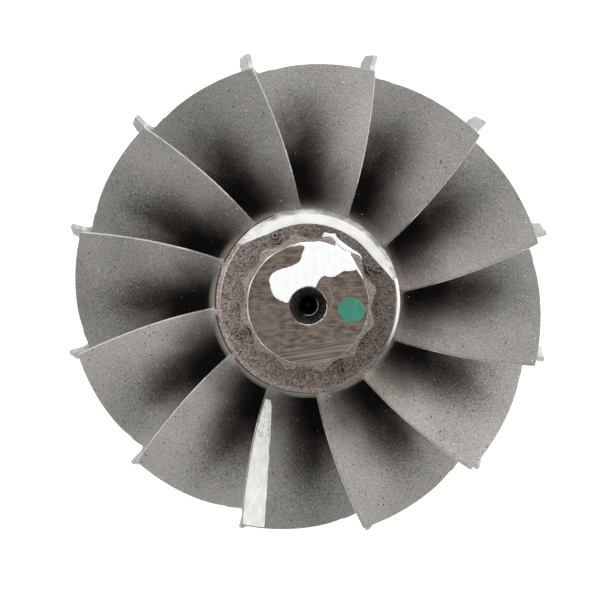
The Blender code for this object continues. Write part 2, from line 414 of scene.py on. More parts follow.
def place_on_wheel(material):
    """The place on the wheel in millimetres, with its x, y, z and its distance from the axis."""
    coords = Wire(add_node(material.node_tree, "TexCoord").outputs["Object"])
    where = stretch(coords, 1 / MM, 1 / MM, 1 / MM)
    x, y, z = [Wire(socket) for socket in add_beside("SeparateXYZ", {0: where}).outputs]
    return where, x, y, z, length_of(stretch(where, 1.0, 1.0, 0.0))


def mesh_value(material, name):
    """A value that the mesh carries from point to point."""
    return Wire(add_node(material.node_tree, "Attribute", attribute_name=name).outputs["Fac"])


def new_group(name, inputs):
    """Starts a shared effect with named inputs; gives its node group and those inputs."""
    tree = bpy.data.node_groups.new(name, "ShaderNodeTree")
    for socket, kind in inputs.items():
        tree.interface.new_socket(socket, in_out="INPUT", socket_type="NodeSocket" + kind)
    start = tree.nodes.new("NodeGroupInput")
    return tree, [Wire(socket) for socket in start.outputs[:len(inputs)]]


def close_group(tree, outputs):
    """Gives a shared effect its named outputs."""
    for name in outputs:
        tree.interface.new_socket(name, in_out="OUTPUT", socket_type="NodeSocketFloat")
    end = tree.nodes.new("NodeGroupOutput")
    for name, value in outputs.items():
        feed(end.inputs[name], value)
    return tree


def use_group(group, inputs):
    """Places a shared effect beside the nodes that feed it and gives its outputs by name."""
    node = add_beside("Group", inputs, node_tree=group)
    return {socket.name: Wire(socket) for socket in node.outputs}


def make_cast_grain():
    """The skin that a ceramic mould leaves: grain, bright and dark specks, pits, a cloudy tone."""
    inputs = {"Where": "Vector", "Grain per mm": "Float", "Pitting": "Float"}
    tree, (where, per_mm, pitting) = new_group("cast_grain", inputs)
    scaled = flow("VectorMath", {0: where, 3: per_mm}, operation="SCALE")
    fine = cloud(scaled, 1.0, 3.0)
    lumps = cloud(scaled, 0.3, 1.0)
    from_pit, pit_draw = scatter(scaled, 0.42, 0)
    pits = fade(from_pit, 0.3, 0.12) * calc("LESS_THAN", pit_draw, pitting)
    shadow = fade(cloud(scaled, 1.3, 1.0), 0.45, 0.3) * 0.55
    from_glint, glint_draw = scatter(where, 0.85, 1)
    outputs = {
        "Height": fine * 0.7 + lumps * 0.8 - pits * 0.9,
        "Bright specks": fade(cloud(scaled, 1.5, 1.0), 0.56, 0.72),
        "Dark specks": calc("MAXIMUM", shadow, pits),
        "Tone": cloud(where, 0.16, 3.0),
        "Fine tone": cloud(scaled, 1.0, 2.0),
        "Glints": fade(from_glint, 0.13, 0.07) * calc("LESS_THAN", glint_draw, 0.16),
    }
    return close_group(tree, outputs)


def make_edge_wear():
    """Rubbed edges: the mesh's edge value, broken up by a fine noise."""
    tree, (where, edge) = new_group("edge_wear", {"Where": "Vector", "Edge": "Float"})
    left = edge + 0.35 - cloud(where, 1.4, 3.0) * 0.7
    return close_group(tree, {"Wear": fade(left, 0.45, 0.95)})


def make_tool_marks():
    """Fine lines left by a lathe or grinding wheel: narrow bands of height and tone."""
    inputs = {"Across": "Float", "Along": "Float", "Lines per mm": "Float"}
    tree, (across, along, per_mm) = new_group("tool_marks", inputs)
    lines = flow("CombineXYZ", {0: across * per_mm, 1: along * 0.06})
    return close_group(tree, {"Height": cloud(lines, 1.0, 3.0), "Tone": cloud(lines, 0.34, 4.0)})


cast_grain = make_cast_grain()
edge_wear = make_edge_wear()
tool_marks = make_tool_marks()


def new_material(name):
    material = bpy.data.materials.new(name)
    material.use_nodes = True
    return material


def dress(material, colour, metallic, roughness, height, depth):
    """Feeds a material's shader its colour, metal, roughness and a bump, its depth in mm."""
    bump = flow("Bump", {"Strength": 1.0, "Distance": depth * MM, "Height": height})
    looks = {"Base Color": colour, "Metallic": metallic, "Roughness": roughness, "Normal": bump}
    shader = material.node_tree.nodes["Principled BSDF"]
    for name, value in looks.items():
        feed(shader.inputs[name], value)
    return material


def make_cast_skin(name, grain_per_mm, pitting, clean, film, depth, speckle, sparkle, glints,
                   left=0.0):
    """Matt cast skin. Clean metal shows on the outer blades; a brown film lies in the channels and
    soot with painted shade darkens their depths. The nose is lighter toward its left, as much as left
    says."""
    material = new_material(name)
    where, x, y, z, radius = place_on_wheel(material)
    lower_left = x * -0.57 + y * -0.82
    toward_left = fade(lower_left, -25.0, 10.0)
    pitted = (toward_left + 0.35) * pitting
    inputs = {"Where": where, "Grain per mm": grain_per_mm, "Pitting": pitted}
    grain = use_group(cast_grain, inputs)
    edge = mesh_value(material, "worn_edge")
    worn = use_group(edge_wear, {"Where": where, "Edge": edge})["Wear"]

    # Where the film lies: down in the channels, and round the hub except on its bulge.
    wander = (grain["Tone"] - 0.5) * 5.0
    depth_in = TRAILING_TIP_Z - z + wander
    near = radius + wander
    in_channel = fade(near, 35.0, 24.0) * fade(depth_in, 0.5, 6.0)
    by_hub = fade(near, 26.0, 18.0) * (fade(depth_in, 0.5, 4.0) * 0.38 + 0.62)
    on_bulge = fade(z, 34.0, 39.0) * fade(radius, 17.8, 16.2) * fade(lower_left, -2.0, 13.0)
    filmed = calc("MAXIMUM", in_channel, by_hub * (1.0 - on_bulge * 0.6))

    # Where soot and painted shade lie: at the channels' bottom, and in a band across the middle of the
    # blades.
    sunk = depth_in - (near - 20.0) * 0.35
    bottom = fade(near, 29.0, 22.0) * fade(sunk, 0.7, 7.3)
    bottom = bottom * (fade(radius, 15.6, 17.2) * 0.7 + 0.3)
    slope = (HUB_TOP_Z - TRAILING_TIP_Z) / (EXDUCER_RADIUS - COLLAR_RADIUS)
    past_edge = depth_in + (EXDUCER_RADIUS - radius) * slope
    early = fade(past_edge, 0.8, 3.2) * fade(near, 25.5, 20.5)
    bottom = bottom + (1.0 - bottom) * (early * 0.33)
    band = fade(depth_in, 3.5, 8.5) * fade(depth_in, 14.0, 8.5)
    soot_and_shade = calc("MAXIMUM", bottom, fade(near, 37.5, 26.0) * band * 0.7)
    colour = mix_colours(filmed, clean, film)
    colour = mix_colours(soot_and_shade, colour, SOOT_AND_SHADE)
    colour = mix_colours(fade(radius, 39.8, 41.0) * 0.8, colour, (0.36, 0.36, 0.35))

    # How light it is: cloudy, speckled most toward the lower left, duller there by the free edge.
    inside_edge = fade(near, 40.5, 31.0)
    by_edge = 1.0 - inside_edge
    coarse = toward_left * 0.5 * inside_edge + 0.65 - by_edge * 0.25
    rougher = (fade(depth_in, 1.0, 7.0) * 1.9 + speckle) * coarse
    shade = grain["Tone"] * 0.4 + cloud(where, 0.04, 1.0) * 0.7
    shade = shade + (grain["Fine tone"] - 0.5) * rougher + 0.45
    duller = by_edge * fade(lower_left, 5.0, 30.0) * 0.13
    # Each blade is lighter or darker by its own listed lightness, and the nose is lighter toward its
    # left by as much as left says.
    lightness = mesh_value(material, "lightness") + 1.0 - calc("DIVIDE", x, radius) * left
    shade = shade * (lightness - duller)
    colour = flow("VectorMath", {0: colour, 3: shade}, operation="SCALE")
    colour = mix_colours(grain["Dark specks"] * 0.75, colour, (0.012, 0.011, 0.01))
    lighter = grain["Bright specks"] * ((1.0 - soot_and_shade) * sparkle)
    colour = mix_colours(lighter, colour, (0.5, 0.48, 0.44))
    colour = mix_colours(grain["Glints"] * glints, colour, (0.8, 0.78, 0.74))
    colour = mix_colours(worn, colour, (0.4, 0.39, 0.37))
    roughness = mix_values(worn, mix_values(soot_and_shade, 0.66, 0.9), 0.45)
    metallic = mix_values(worn, mix_values(soot_and_shade, 0.5, 0.0), 0.7)
    shader = material.node_tree.nodes["Principled BSDF"]
    shader.inputs["Specular IOR Level"].default_value = 0.05
    return dress(material, colour, metallic, roughness, grain["Height"], depth)


def make_tooled_metal(name, lines_per_mm, dark, bright, roughness, depth, highlight_toward=None,
                      metallic=1.0, inside=0.0):
    """Bare metal with fine concentric lines, cut on a lathe or ground while it turns. It may carry a
    painted highlight toward one side only, and be darker within about 41 mm of the axis."""
    material = new_material(name)
    where, x, y, z, radius = place_on_wheel(material)
    around = calc("ARCTAN2", y, x) * radius
    inputs = {"Across": radius + z, "Along": around, "Lines per mm": lines_per_mm}
    marks = use_group(tool_marks, inputs)
    shade = fade(marks["Tone"] + cloud(where, 0.4, 3.0), 0.75, 1.2)
    # Painted highlight: light on the side it faces, low on the bevel, and dark elsewhere.
    if highlight_toward is not None:
        side = x * cos(highlight_toward) + y * sin(highlight_toward)
        side = fade(calc("DIVIDE", side, radius), 0.8, 1.0)
        outer = fade(z, COLLAR_Z - 0.1, COLLAR_Z - 0.5)
        shade = calc("MAXIMUM", shade * 0.3, side * outer)
    colour = mix_colours(shade, dark, bright)
    colour = mix_colours(fade(radius, 42.6, 40.4) * inside, colour, (0.09, 0.087, 0.082))
    rough = mix_values(marks["Tone"], roughness + 0.12, roughness - 0.08)
    return dress(material, colour, metallic, rough, marks["Height"], depth)


def make_crevice_shade():
    """Painted shade for grooves and corners: near black, mottled."""
    material = new_material("crevice_painted_shade")
    mottle = cloud(place_on_wheel(material)[0], 3.0, 3.0)
    colour = mix_colours(mottle, (0.008, 0.007, 0.006), (0.045, 0.038, 0.033))
    return dress(material, colour, 0.0, 0.9, mottle, 0.05)


CLEAN = (0.216, 0.209, 0.194)
FILM = (0.084, 0.063, 0.055)
SOOT_AND_SHADE = (0.006, 0.0052, 0.0048)
COLLAR_CLEAN = (0.158, 0.13, 0.115)
cast_skin = make_cast_skin("cast_skin", 3.2, 0.1, CLEAN, FILM, depth=0.13, speckle=0.9,
                           sparkle=0.3, glints=0.5)
collar_skin = make_cast_skin("collar_skin", 3.0, 0.15, COLLAR_CLEAN, COLLAR_CLEAN, depth=0.2,
                             speckle=3.3, sparkle=0.35, glints=0.4, left=0.33)
turned_metal = make_tooled_metal("turned_metal", 7.0, (0.16, 0.155, 0.15), (0.27, 0.265, 0.26),
                                 roughness=0.42, depth=0.012)
ground_metal = make_tooled_metal("ground_metal", 7.0, (0.36, 0.36, 0.35), (0.52, 0.52, 0.51),
                                 roughness=0.5, depth=0.02, metallic=0.3, inside=0.75)
balance_metal = make_tooled_metal("balance_metal", 4.0, (0.29, 0.29, 0.284), (0.34, 0.34, 0.332),
                                  roughness=0.55, depth=0.01)
bevel_painted_highlight = make_tooled_metal("bevel_painted_highlight", 6.0, (0.045, 0.04, 0.036), (0.5, 0.49, 0.47),
                                roughness=0.6, depth=0.02, highlight_toward=radians(2))
smeared = make_tooled_metal("smeared_bevel", 5.0, (0.14, 0.137, 0.13), (0.4, 0.395, 0.385),
                            roughness=0.5, depth=0.03)
crevice = make_crevice_shade()
core_finish = [cast_skin, turned_metal, balance_metal, collar_skin, bevel_painted_highlight, smeared, crevice]
core = add_piece("disc_hub_collar", build_core(), core_finish)
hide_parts("turbine_wheel")

# Blades. Twelve thin cast blades run from the nose end down to the disc and turn on the way.
# They are one with the hub through a cast fillet. Their trailing edges are left round as cast;
# the free edges and the inducer edges are ground to the housing's shape.
INDUCER_RADIUS = 44.0
SHROUD_RADIUS = 39.9
SHROUD_TURN_HEIGHT = 5.5
SHROUD_TURN_SHARE = 0.3
CORNER_SHARE = 0.75
CORNER_END_RADIUS = 42.2
INDUCER_CORNER = 0.5
INDUCER_CORNER_FADE = 8
TIP_THICKNESS = 0.9
ROOT_EDGE_THICKNESS = 0.95
INDUCER_ROOT_THICKNESS = 1.0
ROOT_MIDDLE_THICKNESS = 2.4
FILLET = 1.6
LEAST_FILLET = 0.15
LOBE_MARGIN = 0.25
SINK = 0.04
EDGE_BREAK = 0.08
TRAILING_ROUND_SHARE = 0.011
TRAILING_FLAT = 0.55
TAPER = 0.42
TAPER_SHARE = 0.1
# How much lighter or darker each blade is than the rest.
LIGHTNESS = (-0.05, -0.2, 0.12, -0.15, 0.05, 0.15, 0.42, 0.36, -0.15, 0.0, 0.22, -0.1)
LAST_CHORD = 0.997
CHORD_STEPS = 56
FILLET_STEPS = 6
SPAN_STEPS = 22
EDGE_RUB = 0.74
RIDGE_RUB = 0.5
RIDGE_FROM = 0.25
RIDGE_TO = 0.4
RUB_START = 1.5
RUB_RUN_IN = 6.0
GROUND = 1


def shroud_point(share):
    """(radius, height) on the blade's free edge, from its trailing tip to its inducer tip."""
    turn_height = INDUCER_TIP_Z + SHROUD_TURN_HEIGHT
    straight = 1 - SHROUD_TURN_SHARE
    if share < straight:
        part = share / straight
        return part_way((EXDUCER_RADIUS, TRAILING_TIP_Z), (SHROUD_RADIUS, turn_height), part)
    part = (share - straight) / SHROUD_TURN_SHARE / CORNER_SHARE
    if part < 1:
        angle = part * pi / 2
        radius = CORNER_END_RADIUS - (CORNER_END_RADIUS - SHROUD_RADIUS) * cos(angle)
        return radius, turn_height - SHROUD_TURN_HEIGHT * sin(angle)
    outward = (part - 1) / (1 / CORNER_SHARE - 1)
    return between(CORNER_END_RADIUS, INDUCER_RADIUS, outward), INDUCER_TIP_Z


def inducer_bulge(span, root):
    """How far the inducer edge stands out from a straight line, so that it drops square to the disc."""
    corner = INDUCER_CORNER / (INDUCER_TIP_Z - root[1])
    rounded = sqrt(max(0.0, 1 - (1 - min(span / corner, 1.0)) ** 2))
    return (INDUCER_RADIUS - root[0]) * (rounded - span)


def fillet_room(radius, half_thickness):
    """The fillet's radius where the disc's lobe under the blade is too narrow for the full one."""
    if radius < SCALLOP_CENTRE - SCALLOP_RADIUS:
        return FILLET
    reach = (radius**2 + SCALLOP_CENTRE**2 - SCALLOP_RADIUS**2) / (2 * radius * SCALLOP_CENTRE)
    lobe = radius * (PITCH / 2 - acos(min(1.0, reach)))
    return min(FILLET, max(LEAST_FILLET, lobe - half_thickness - LOBE_MARGIN))


def blade_point(tip_angle, chord, distance, side):
    """A point on one side of a blade, at a share of its chord and a distance out from the hub."""
    root = hub_point(chord)
    edge = shroud_point(chord)
    length = dist(root, edge)
    span = distance / length
    out = max(span, 0.0)
    radius, height = part_way(root, edge, span)
    radius += inducer_bulge(out, root) * chord**INDUCER_CORNER_FADE
    turn, rate = turn_at(height)
    lean = radius * rate
    half = between(ROOT_EDGE_THICKNESS, INDUCER_ROOT_THICKNESS, chord)
    half += (ROOT_MIDDLE_THICKNESS - ROOT_EDGE_THICKNESS) * sin(pi * chord)
    half = between(half, TIP_THICKNESS, out) / 2
    half *= 1 - TAPER * max(0.0, 1 - chord / TAPER_SHARE) ** 2
    rise = max(distance, 0.0) / FILLET
    if rise < 1:
        half += fillet_room(root[0], half) * (1 - sqrt(1 - (1 - rise) ** 2))
    if chord < TRAILING_ROUND_SHARE:
        half *= between(TRAILING_FLAT, 1, sqrt(1 - (1 - chord / TRAILING_ROUND_SHARE) ** 2))
    broken = held(max(1 - (length - distance) / EDGE_BREAK, 1 - (1 - chord) * length / EDGE_BREAK))
    offset = side * (half - EDGE_BREAK * broken) / hypot(1.0, lean)
    lift = offset * lean
    if rise < 1:
        angle = chord * pi / 2
        normal = Vector((HUB_DOWN * cos(angle), HUB_ACROSS * sin(angle))).normalized()
        off = lift * normal.y * (1 - rise)
        radius -= normal.x * off
        lift -= normal.y * off
    return Vector((*on_circle(radius, tip_angle + turn + offset / radius), height + lift))


def build_blade(tip_angle, own_lightness):
    bm = bmesh.new()
    worn = bm.verts.layers.float.new("worn_edge")
    lightness = bm.verts.layers.float.new("lightness")
    chords = [TRAILING_ROUND_SHARE * (1 - cos(turn)) for turn in quarter_turn(6)]
    start = TRAILING_ROUND_SHARE
    straight = LAST_CHORD - start
    chords += [start + straight * k / CHORD_STEPS for k in range(1, CHORD_STEPS + 1)] + [1.0]
    above, below = [], []
    for chord in chords:
        length = dist(hub_point(chord), shroud_point(chord))
        distances = [-SINK] + [FILLET * (1 - cos(t)) for t in quarter_turn(FILLET_STEPS)[1:]]
        reach = length - FILLET - EDGE_BREAK
        distances += [FILLET + reach * k / SPAN_STEPS for k in range(1, SPAN_STEPS + 1)] + [length]
        on_ridge = RIDGE_FROM < chord / TRAILING_ROUND_SHARE < RIDGE_TO
        rubs = (EDGE_RUB, EDGE_RUB) if chord == 0 else (RIDGE_RUB * on_ridge, 0.0)
        for side, sign, rub in zip((above, below), (1, -1), rubs):
            row = [bm.verts.new(blade_point(tip_angle, chord, d, sign)) for d in distances]
            for vert, distance in zip(row, distances):
                vert[worn] = rub * held((distance - RUB_START) / RUB_RUN_IN)
            side.append(row)
    join_rings(bm, above, CAST, closed=False)
    join_rings(bm, below, CAST, closed=False)
    for k, material in ((0, CAST), (-1, GROUND)):
        join_rings(bm, ([row[k] for row in above], [row[k] for row in below]), material, False)
    join_rings(bm, (above[-1], below[-1]), GROUND, closed=False)
    middle = [bm.verts.new((a.co + b.co) / 2) for a, b in zip(above[0], below[0])]
    for vert, beside in zip(middle, above[0]):
        vert[worn] = beside[worn]
    join_rings(bm, (above[0], middle, below[0]), CAST, closed=False)
    for vert in bm.verts:
        vert[lightness] = own_lightness
    return bm


for number in range(BLADES):
    mesh = build_blade(FIRST_TIP_ANGLE + PITCH * number, LIGHTNESS[number])
    blade = add_piece(f"blade_{number + 1:02d}", mesh, [cast_skin, ground_metal])
    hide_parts("turbine_wheel")

# Nose. A twelve-point boss for the socket that turns the wheel, cast with the hub. Its top is
# milled flat and its corners are chamfered; a shallow facet is ground off one side of the top,
# and the centre is drilled and countersunk, a little off the middle.
PAINT_ROOM = 0.1
NOSE_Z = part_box("turbine_wheel")[1].z / MM - PAINT_ROOM
NOSE_SINK = 0.06
DRIVE_FLAT = 9.76
DRIVE_ANGLE = radians(11.5)
DRIVE_FACE_RADIUS = 9.75
DRIVE_CHAMFER = radians(35)
DRIVE_ROOT_FILLET = 0.5
FACE_STEPS = 30
FACE_RUBBED_TOWARD = radians(175)
FACET_FROM_AXIS = 7.1
FACET_TOWARD = radians(-78)
FACET_SLOPE = 0.05
HOLE_OFFSET = 0.35
HOLE_MOUTH_RADIUS = 3.0
HOLE_EDGE = 0.1
COUNTERSINK = radians(30)
PILOT_RADIUS = 1.55
PILOT_DEPTH = 5.5
DRILL_SLOPE = 0.577
DRILL_TIP = 0.22
NOSE_COLUMNS = 288
CORNER_HARDNESS = 70
POINT_HARDNESS = 90
BOSS_SIDE, MILLED, BORE, RIM, CHAMFER, DRILL_POINT = range(6)


def hexagon_radius(angle, turn):
    """Distance to a hexagon's side with slightly rounded corners."""
    facings = [cos(angle - turn - pi / 6 - side * pi / 3) for side in range(6)]
    total = sum(facing**CORNER_HARDNESS for facing in facings if facing > 0)
    return DRIVE_FLAT / total ** (1 / CORNER_HARDNESS)


def drive_radius(angle):
    """Two hexagons, one turned by half a side, make the twelve points."""
    first = hexagon_radius(angle, DRIVE_ANGLE)
    second = hexagon_radius(angle, DRIVE_ANGLE + pi / 6)
    return (first**POINT_HARDNESS + second**POINT_HARDNESS) ** (1 / POINT_HARDNESS)


def nose_height(x, y):
    """Height of the boss's top: flat, with the ground facet and the chamfer."""
    beyond = x * cos(FACET_TOWARD) + y * sin(FACET_TOWARD) - FACET_FROM_AXIS
    facet = FACET_SLOPE * max(0.0, beyond)
    chamfer = max(0.0, hypot(x, y) - DRIVE_FACE_RADIUS) * tan(DRIVE_CHAMFER)
    return NOSE_Z - max(facet, chamfer)


def build_nose():
    bm = bmesh.new()
    worn = bm.verts.layers.float.new("worn_edge")
    angles = [tau * i / NOSE_COLUMNS for i in range(NOSE_COLUMNS)]
    outline = [(a, drive_radius(a)) for a in angles]
    rings = []
    for turn in quarter_turn(4):
        out = DRIVE_ROOT_FILLET * (1 - sin(turn))
        rise = DRIVE_ROOT_FILLET * (1 - cos(turn)) - NOSE_SINK
        rings.append(ring(bm, [(a, r + out, COLLAR_Z + rise) for a, r in outline]))
    foot = COLLAR_Z + DRIVE_ROOT_FILLET
    tops = [(a, r, nose_height(*on_circle(r, a))) for a, r in outline]
    for part in (0.35, 0.7, 0.985):
        rings.append(ring(bm, [(a, r, between(foot, top, part)) for a, r, top in tops]))
    chamfer_start = len(rings) - 1
    for part in (0.06, 0.35, 0.65, 0.9, 1.0):
        loop = [(a, between(r, DRIVE_FACE_RADIUS, part)) for a, r in outline]
        rings.append(ring(bm, [(a, r, nose_height(*on_circle(r, a))) for a, r in loop]))
    face_start = len(rings) - 1
    for step in range(1, FACE_STEPS + 1):
        part = step / FACE_STEPS
        radius = between(DRIVE_FACE_RADIUS, HOLE_MOUTH_RADIUS + HOLE_EDGE, part)
        spots = [(radius * cos(a), radius * sin(a) - HOLE_OFFSET * part) for a in angles]
        rings.append([bm.verts.new((*spot, nose_height(*spot))) for spot in spots])
    hole_start = len(rings) - 1
    cone_depth = (HOLE_MOUTH_RADIUS - PILOT_RADIUS) / tan(COUNTERSINK)
    tip_depth = PILOT_DEPTH + PILOT_RADIUS * DRILL_SLOPE
    hole = [(HOLE_MOUTH_RADIUS + 0.03, 0.03), (HOLE_MOUTH_RADIUS - 0.03, 0.1)]
    hole += [(PILOT_RADIUS + 0.12, cone_depth - 0.12), (PILOT_RADIUS + 0.02, cone_depth)]
    hole += [(PILOT_RADIUS, cone_depth + 0.12), (PILOT_RADIUS, PILOT_DEPTH)]
    hole += [part_way((0.0, tip_depth), (PILOT_RADIUS, PILOT_DEPTH), DRILL_TIP)]
    for radius, depth in hole:
        spots = [(radius * cos(a), radius * sin(a) - HOLE_OFFSET) for a in angles]
        rings.append([bm.verts.new((*spot, NOSE_Z - depth)) for spot in spots])
    faces = join_rings(bm, rings, BOSS_SIDE)
    give_material(faces[chamfer_start:face_start], CHAMFER)
    give_material(faces[face_start:hole_start], MILLED)
    # The bore is made near black: painted shade over old oil.
    give_material(faces[hole_start:], BORE)
    # The hole's mouth and the pilot's rim take painted highlights.
    give_material(faces[hole_start:hole_start + 2] + faces[hole_start + 3:hole_start + 5], RIM)
    for vert, (_, r) in zip(rings[chamfer_start], outline):
        vert[worn] = 0.95 if r > DRIVE_FACE_RADIUS + 0.7 else 0.6
    for inner, outer, a in zip(rings[face_start], rings[face_start - 1], angles):
        on_left = 0.5 * max(0.0, cos(a - FACE_RUBBED_TOWARD))
        inner[worn] = 0.8 + on_left
        outer[worn] = 0.45 + on_left
    close_ring(bm, rings[-1], (0.0, -HOLE_OFFSET, NOSE_Z - tip_depth), DRILL_POINT)
    close_ring(bm, rings[0], (0.0, 0.0, COLLAR_Z - NOSE_SINK), BOSS_SIDE)
    return bm


def make_edge_metal():
    """Bare rims with painted highlights: a little on the hole's mouth, and on one side of the pilot's.
    """
    material = new_material("rim_painted_highlight")
    where, x, y, z, _ = place_on_wheel(material)
    patchy = cloud(where, 1.6, 3.0)
    # Painted highlight: a bright arc on one side of the pilot, and patches on the mouth.
    toward = x - (y + HOLE_OFFSET) * 0.7
    at_mouth = fade(z, 52.5, 53.5)
    pilot_side = fade(toward, 0.2, 0.9) - at_mouth
    mouth_side = fade(toward, -1.5, 2.5) * fade(patchy, 0.35, 0.6) * at_mouth * 0.5
    wear_and_highlight = calc("MAXIMUM", pilot_side, mouth_side)
    colour = mix_colours(wear_and_highlight, (0.03, 0.028, 0.025), (0.9, 0.87, 0.82))
    return dress(material, colour, 0.6, 0.4, patchy, 0.02)


LAY_TILT = radians(2)
FACET_LAY_TILT = radians(9)
SCRIBE_CENTRE = (0.7, 0.74, 0.0)
SCRIBE_RADIUS = 3.24


def make_milled_face():
    """Milled face gone brown: near-level lay, lighter streaks on the facet, stains and an arc
    scribed beside the hole."""
    material = new_material("milled_face")
    where, x, y, _, _ = place_on_wheel(material)
    toward = x * cos(FACET_TOWARD) + y * sin(FACET_TOWARD)
    on_facet = fade(toward, FACET_FROM_AXIS - 1.3, FACET_FROM_AXIS + 0.2)
    layers = []
    for tilt, lines, along in ((LAY_TILT, 19.0, 10.0), (FACET_LAY_TILT, 6.5, 1.8)):
        across = y * cos(tilt) - x * sin(tilt) + cloud(where, 0.35, 1.0) * 0.3
        inputs = {"Across": across, "Along": x * along, "Lines per mm": lines}
        layers.append(use_group(tool_marks, inputs))
    height = mix_values(on_facet, layers[0]["Height"], layers[1]["Height"])
    tone = mix_values(0.5, mix_values(on_facet, layers[0]["Tone"], layers[1]["Tone"]), height)
    blotches = cloud(stretch(where, 0.6, 1.2, 1.0), 1.1, 4.0)
    tone = tone + (blotches - 0.5) * 0.7 * (1.0 - on_facet)
    plain = mix_colours(fade(tone, 0.34, 0.66), (0.125, 0.092, 0.075), (0.39, 0.313, 0.27))
    streaky = mix_colours(fade(tone, 0.4, 0.62), (0.11, 0.083, 0.068), (0.6, 0.53, 0.46))
    colour = mix_colours(on_facet, plain, streaky)
    stain = fade(cloud(where, 0.22, 3.0), 0.52, 0.68)
    colour = mix_colours(stain * 0.45, colour, (0.3, 0.28, 0.23))
    flat = stretch(where, 1.0, 1.0, 0.0)
    reach = length_of(flow("VectorMath", {0: flat, 1: SCRIBE_CENTRE}, operation="SUBTRACT"))
    off_line = calc("ABSOLUTE", reach - SCRIBE_RADIUS)
    scribed = fade(off_line, 0.09, 0.03) * fade(x, 1.5, 2.4)
    colour = mix_colours(scribed * 0.6, colour, (0.6, 0.56, 0.5))
    return dress(material, colour, 0.95, mix_values(tone, 0.5, 0.36), height, 0.02)


def make_shaded_bore():
    """Drilled metal stained with old cutting oil and made nearly black as painted shade, with a few
    bright points.
    """
    material = new_material("bore_oil_and_shade")
    where = place_on_wheel(material)[0]
    points = fade(cloud(where, 4.0, 1.0), 0.62, 0.72)
    murk = mix_colours(cloud(where, 1.2, 3.0), (0.004, 0.0036, 0.0033), (0.02, 0.017, 0.015))
    colour = mix_colours(points, murk, (0.25, 0.23, 0.2))
    return dress(material, colour, 0.6, 0.42, cloud(where, 3.0, 3.0), 0.03)


DRIVE_CLEAN = (0.142, 0.124, 0.111)
rim_painted_highlight = make_edge_metal()
milled_face = make_milled_face()
bore_oil_and_shade = make_shaded_bore()
drive_skin = make_cast_skin("drive_skin", 2.6, 0.05, DRIVE_CLEAN, DRIVE_CLEAN, depth=0.08,
                            speckle=2.3, sparkle=0.15, glints=0.2, left=0.1)
nose_finish = [collar_skin, milled_face, bore_oil_and_shade, rim_painted_highlight, drive_skin, turned_metal]
nose = add_piece("nose_drive", build_nose(), nose_finish)
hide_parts("turbine_wheel")

# Cast marks. Four small raised characters were cast with the collar, each in a gap between the
# boss's corners. Plain loops and bars stand in for them; painted shade fills the crevice round each.
MARK_WIDTH = 0.34
MARK_HEIGHT = 0.26
MARK_FOOT = 0.03
CREVICE = 0.11
CREVICE_RISE = 0.035
LOOP_POINTS = 22
BESIDE_MARK = 1


def add_bead(bm, path, closed=False):
    """A half-round bead with a crevice of painted shade at each side, along a path of (x, y) points."""
    worn = bm.verts.layers.float.get("worn_edge")
    rings = []
    count = len(path)
    half = MARK_WIDTH / 2
    arch = [(half * cos(k / 6 * pi), MARK_HEIGHT * sin(k / 6 * pi)) for k in range(1, 6)]
    section = [(half + CREVICE, CREVICE_RISE), (half, MARK_FOOT), *arch]
    section += [(-half, MARK_FOOT), (-half - CREVICE, CREVICE_RISE)]
    for i, (x, y) in enumerate(path):
        before = path[(i - 1) % count] if closed else path[max(i - 1, 0)]
        after = path[(i + 1) % count] if closed else path[min(i + 1, count - 1)]
        along = Vector((after[0] - before[0], after[1] - before[1])).normalized()
        spots = [(x - along.y * out, y + along.x * out, COLLAR_Z + rise) for out, rise in section]
        row = [bm.verts.new(spot) for spot in spots]
        for vert in row[3:6]:
            vert[worn] = 0.3
        rings.append(row)
    for row in join_rings(bm, rings + rings[:1] if closed else rings, closed=False):
        # Painted shade: the crevice faces at each side of a bead take the near-black material.
        row[0].material_index = row[-1].material_index = BESIDE_MARK
    if not closed:
        bm.faces.new(rings[0][1:-1])
        bm.faces.new(rings[-1][1:-1])


def polar(radius, bearing):
    """(x, y) at a radius and a bearing in degrees."""
    return on_circle(radius, radians(bearing))


def loop_round(radius, bearing, half_out, half_across):
    """An oval loop centred at a radius and bearing on the collar, longer outward or across."""
    points = []
    for k in range(LOOP_POINTS):
        turn = tau * k / LOOP_POINTS
        sideways = degrees(half_across * sin(turn) / radius)
        points.append(polar(radius + half_out * cos(turn), bearing + sideways))
    return points


marks_bm = bmesh.new()
marks_bm.verts.layers.float.new("worn_edge")
add_bead(marks_bm, loop_round(12.15, 116.8, 0.4, 0.42), closed=True)
add_bead(marks_bm, loop_round(12.95, 206.0, 0.4, 0.38), closed=True)
add_bead(marks_bm, [polar(12.2, 204.2), polar(11.9, 205.6), polar(11.6, 207.0)])
add_bead(marks_bm, loop_round(12.6, 296.6, 0.7, 0.42), closed=True)
add_bead(marks_bm, [polar(13.1, 22.3), polar(12.6, 23.2), polar(12.1, 25.2), polar(11.6, 27.8)])
for middle in (27.5, 116.8, 206.6, 296.6):
    steps = range(-4, 5)
    cup = [polar(11.25 - 0.3 * cos(step / 4 * pi / 2), middle + step * 0.8) for step in steps]
    add_bead(marks_bm, cup)
marks = add_piece("cast_marks", marks_bm, [collar_skin, crevice])
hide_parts("turbine_wheel")

